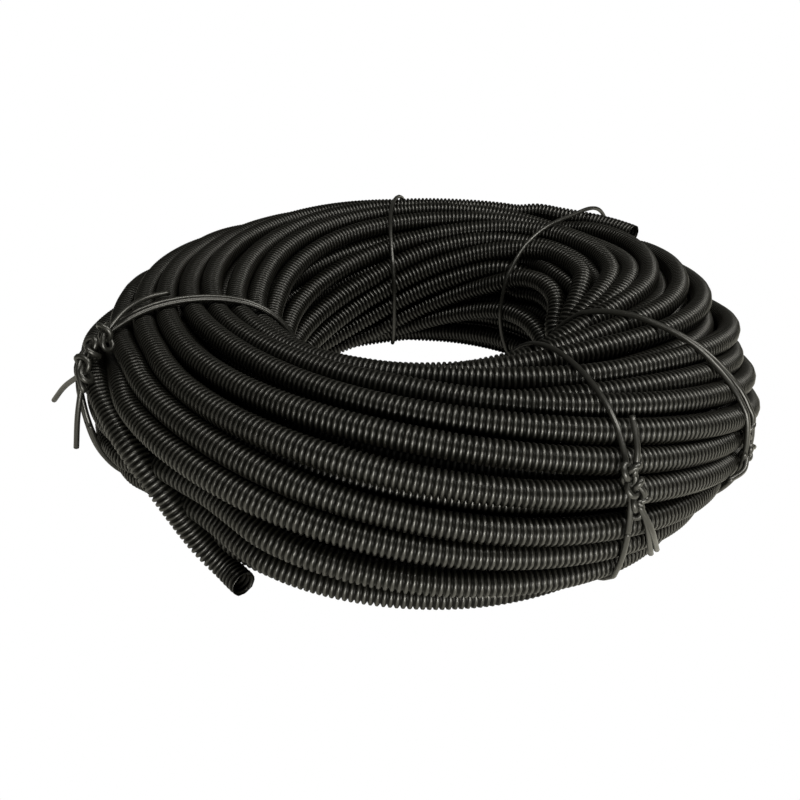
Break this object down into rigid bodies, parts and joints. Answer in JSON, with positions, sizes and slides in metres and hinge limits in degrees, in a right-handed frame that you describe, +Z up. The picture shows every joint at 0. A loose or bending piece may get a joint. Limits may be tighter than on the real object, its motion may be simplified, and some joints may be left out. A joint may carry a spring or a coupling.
{
  "type": "corrugated conduit coil",
  "caption": "Coil of flexible corrugated plastic conduit lying flat, tied round with soft cord, with open corrugated free ends.",
  "frame": {"origin": "on the coil's axis, at the level of the floor that it lies on", "axes": "+Z up along the coil's axis, -Y towards the viewer of the picture"},
  "size_m": [0.4165, 0.4088, 0.1046],
  "materials": {
    "conduit_plastic": "semi-gloss",
    "tie_cord": "satin"
  },
  "bodies": {
    "root": {"conduit": "conduit_plastic", "tie_left": "tie_cord", "tie_back": "tie_cord", "tie_back_right": "tie_cord", "tie_right": "tie_cord", "tie_front_right": "tie_cord"}
  },
  "joints": []
}
